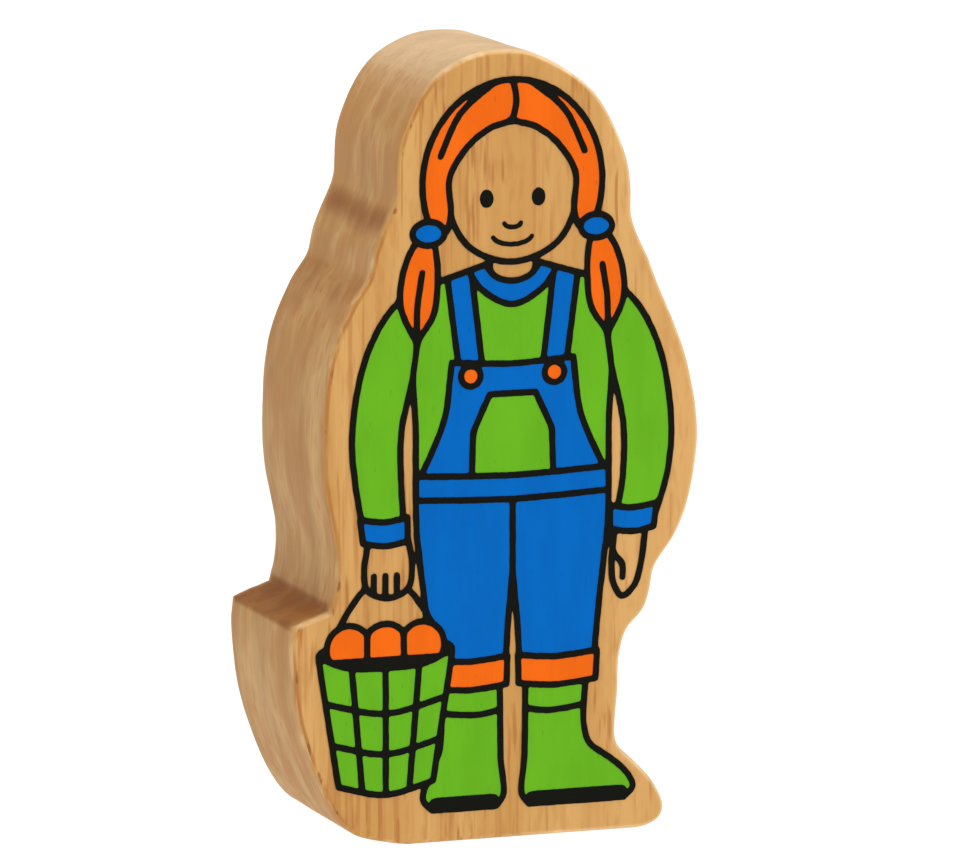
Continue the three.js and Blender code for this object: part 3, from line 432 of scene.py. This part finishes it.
def wood_material():
    """Upright bands, streaks and fibres, with marks on top of them, burns and painted shade in the hollows,
    and sanded edges with painted highlight.
    """
    material, shader, spot = blank("sanded_wood")
    across, through, height = [
        spot.node("ShaderNodeSeparateXYZ", {"Vector": spot}, output=axis) for axis in ("X", "Y", "Z")
    ]
    burn_and_shade, upward, sideways = [
        spot.node("ShaderNodeAttribute", {}, {"attribute_name": mark}, "Fac") for mark in MESH_MARKS
    ]
    inward = half_thick - abs(through)
    wall = inward.step(*FACE_TO_WALL)
    bands = grain(spot, width=7 * MM, length=120 * MM, shift=1)
    streaks = grain(spot, width=1.2 * MM, length=30 * MM, shift=3, detail=2)
    fibres = grain(spot, **FIBRES)
    flecks = open_vessels(spot, across)
    tone = (bands * 0.66 + streaks * 0.28 + fibres * 0.06).step(0.34, 0.66)
    colour = wall.mix(tone.mix(FACE_DARK, FACE_PALE), wall_colour(spot, height, upward, tone))
    colour = brown_marks(spot, across, upward, wall, flecks).mix(colour, FLECK_BROWN)
    # Sanded spots and a painted highlight make the rounded edge paler.
    colour = sanded_spots_and_highlight(spot, across, upward, inward).mix(colour, SANDED_SPOT_AND_HIGHLIGHT)
    # Burns and painted shade darken the hollows of the wall, most where it faces up, and not the faces.
    burn_and_shade_level = burn_and_shade * (0.12 + upward.step(0.24, 0.54) * 0.88) * inward.step(*FACE_TO_BURN_AND_SHADE)
    colour = colour.times(burn_and_shade_level.mix(WHITE, BURNT_AND_SHADED))
    surface(
        shader,
        colour=torn_edge(colour, spot, across, sideways, inward),
        roughness=0.52 + fibres * 0.16,
        relief=fibres * 0.4 - flecks * 0.8 + streaks * 0.3,
        strength=0.4,
        depth=0.03 * MM,
        shine=0.25,
    )
    return material


finished("sanded_block", block, "wood_block", wood_material())

# The colours are films of screen ink, printed flat on the sanded faces.
# Each is cut where a nearer thing stands in front.
# The ink is satin and opaque, and only the deepest of the wood's open vessels show in it, as faint flecks.
INK_COLOURS = {
    "green_ink": (0.130, 0.425, 0.0135),
    "blue_ink": (0.0, 0.128, 0.485),
    "orange_ink": (0.85, 0.138, 0.006),
    "black_ink": (0.006, 0.006, 0.004),
}
THICK_FILM = 0.94  # these three are shares of the ink's colour
THIN_FILM = 1.06
PORE_IN_FILM = 0.5


def shade(colour, share):
    return (*[share * part for part in colour], 1)


def ink_material(slot, colour):
    """A film that is thicker here and thinner there, over the fibres and pores of the wood."""
    material, shader, spot = blank(slot)
    film = grain(spot, width=4 * MM, length=12 * MM, shift=14, detail=3)
    fibres = grain(spot, **FIBRES)
    pores = marks(spot, width=0.35 * MM, length=1.8 * MM, shift=41, begins=0.70, full=0.78)
    thinness = (film * 0.8 + fibres * 0.2).step(0.3, 0.7)
    body = thinness.mix(shade(colour, THICK_FILM), shade(colour, THIN_FILM))
    surface(
        shader,
        colour=(pores * 0.4).mix(body, shade(colour, PORE_IN_FILM)),
        roughness=0.5 + film * 0.14,
        relief=fibres * 0.25 - pores * 0.8,
        strength=0.3,
        depth=0.02 * MM,
        shine=0.04,
    )
    return material


inks = {slot: ink_material(slot, colour) for slot, colour in INK_COLOURS.items()}
for subpart in frame["record"]["subparts"]:
    if subpart["material_slot"] in inks:
        piece = frame["nodes"][subpart["node"]]
        piece.data.materials.clear()
        piece.data.materials.append(inks[subpart["material_slot"]])

# The black line is printed last, over the edges of the colours, and the marks of the face with it.
# The wet ink draws the corners of the drawing round, and creeps a little along the grain of the wood.
LINE_STEP = 0.4 * MM
LINE_SHRINK = 0.09 * MM  # on each side
CREEP = 0.05 * MM
CREEP_PATCH = Vector((0.5 * MM, 0.5 * MM, 1.5 * MM))
CREEP_SHIFT = Vector((5, 5, 5))


def creep(point):
    """How far the ink has crept at a point, across and up."""
    place = Vector([c / patch for c, patch in zip(point, CREEP_PATCH)])
    return Vector((noise.noise(place), 0, noise.noise(place + CREEP_SHIFT))) * CREEP


for subpart in frame["record"]["subparts"]:
    if subpart["material_slot"] == "black_ink":
        node = subpart["node"]
        line = eased_outline(node, LINE_STEP)
        for vert in line.verts:
            vert.co += creep(vert.co)
        bmesh.ops.triangle_fill(line, use_beauty=True, edges=line.edges)
        near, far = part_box(node)
        thickened(line, far.y - near.y)
        line.normal_update()
        for vert in line.verts:
            vert.co -= sideways_part(vert.normal).normalized() * LINE_SHRINK
        finished(f"printed_{node}", line, node, inks["black_ink"])

# The studio is one white sweep: a flat floor that curves up into a low wall all round.
# It glows, so that it stays white at any distance and takes hardly any shadow.
FLOOR_RADIUS = 2.5
SWEEP_RADIUS = 0.9
SWEEP_STEPS = 8
SWEEP_SIDES = 48
FLOOR_COLOUR = (0.1, 0.1, 0.1, 1)
FLOOR_ROUGHNESS = 0.9
FLOOR_GLOW = 0.97
sweep = bmesh.new()
bmesh.ops.create_circle(sweep, cap_ends=True, segments=SWEEP_SIDES, radius=FLOOR_RADIUS)
edges = sweep.edges[:]
for k in range(SWEEP_STEPS):
    now, then = [(n * math.pi / 2) / SWEEP_STEPS for n in (k, k + 1)]
    grown = bmesh.ops.extrude_edge_only(sweep, edges=edges)["geom"]
    verts = [part for part in grown if isinstance(part, bmesh.types.BMVert)]
    edges = [part for part in grown if isinstance(part, bmesh.types.BMEdge)]
    widen = (FLOOR_RADIUS + SWEEP_RADIUS * math.sin(then)) / (FLOOR_RADIUS + SWEEP_RADIUS * math.sin(now))
    rise = SWEEP_RADIUS * (math.cos(now) - math.cos(then))
    bmesh.ops.scale(sweep, verts=verts, vec=(widen, widen, 1))
    bmesh.ops.translate(sweep, verts=verts, vec=(0, 0, rise))
for face in sweep.faces:
    face.smooth = len(face.verts) == 4
floor_data = bpy.data.meshes.new("floor")
sweep.to_mesh(floor_data)
sweep.free()
floor_material, floor_shader, _ = blank("white_floor")
floor_shader.inputs["Base Color"].default_value = FLOOR_COLOUR
floor_shader.inputs["Roughness"].default_value = FLOOR_ROUGHNESS
floor_shader.inputs["Emission Color"].default_value = WHITE
floor_shader.inputs["Emission Strength"].default_value = FLOOR_GLOW
floor_data.materials.append(floor_material)
floor = bpy.data.objects.new("floor", floor_data)
scene.collection.objects.link(floor)

# Soft studio light: a white surround, a large softbox in front on the right and another overhead.
# Both softboxes are turned to the middle of the figure.
SURROUND = 0.31
MIDDLE = Vector((0, 0, (low.z + high.z) / 2))
scene.view_settings.view_transform = "Standard"
world = bpy.data.worlds.new("white_surround")
world.use_nodes = True
world.node_tree.nodes["Background"].inputs["Color"].default_value = WHITE
world.node_tree.nodes["Background"].inputs["Strength"].default_value = SURROUND
scene.world = world


def softbox(name, place, size, power):
    lamp = bpy.data.lights.new(name, "AREA")
    lamp.size = size
    lamp.energy = power
    holder = bpy.data.objects.new(name, lamp)
    holder.location = place
    holder.rotation_euler = (MIDDLE - Vector(place)).to_track_quat("-Z", "Y").to_euler()
    scene.collection.objects.link(holder)


softbox("key_softbox", place=(0.5, -0.9, 0.6), size=0.7, power=4.3)
softbox("top_softbox", place=(0.0, 0.1, 1.8), size=1.2, power=25)

# The camera stands at the photograph's place, a little to the figure's right and above it.
# It is far off, with a long lens.
YAW = math.radians(19.642)
PITCH = math.radians(9.152)
DISTANCE = 1.0652
AIM = Vector((0.00358, 0, 0.05015))
LENS = 312.2
SENSOR_WIDTH = 36
SIGHT = 20
camera_data = bpy.data.cameras.new("camera")
camera_data.lens = LENS
camera_data.sensor_width = SENSOR_WIDTH
camera_data.clip_end = SIGHT
camera = bpy.data.objects.new("camera", camera_data)
forward = Vector((math.sin(YAW) * math.cos(PITCH), math.cos(YAW) * math.cos(PITCH), -math.sin(PITCH)))
camera.location = AIM - forward * DISTANCE
camera.rotation_euler = forward.to_track_quat("-Z", "Y").to_euler()
scene.collection.objects.link(camera)
scene.camera = camera
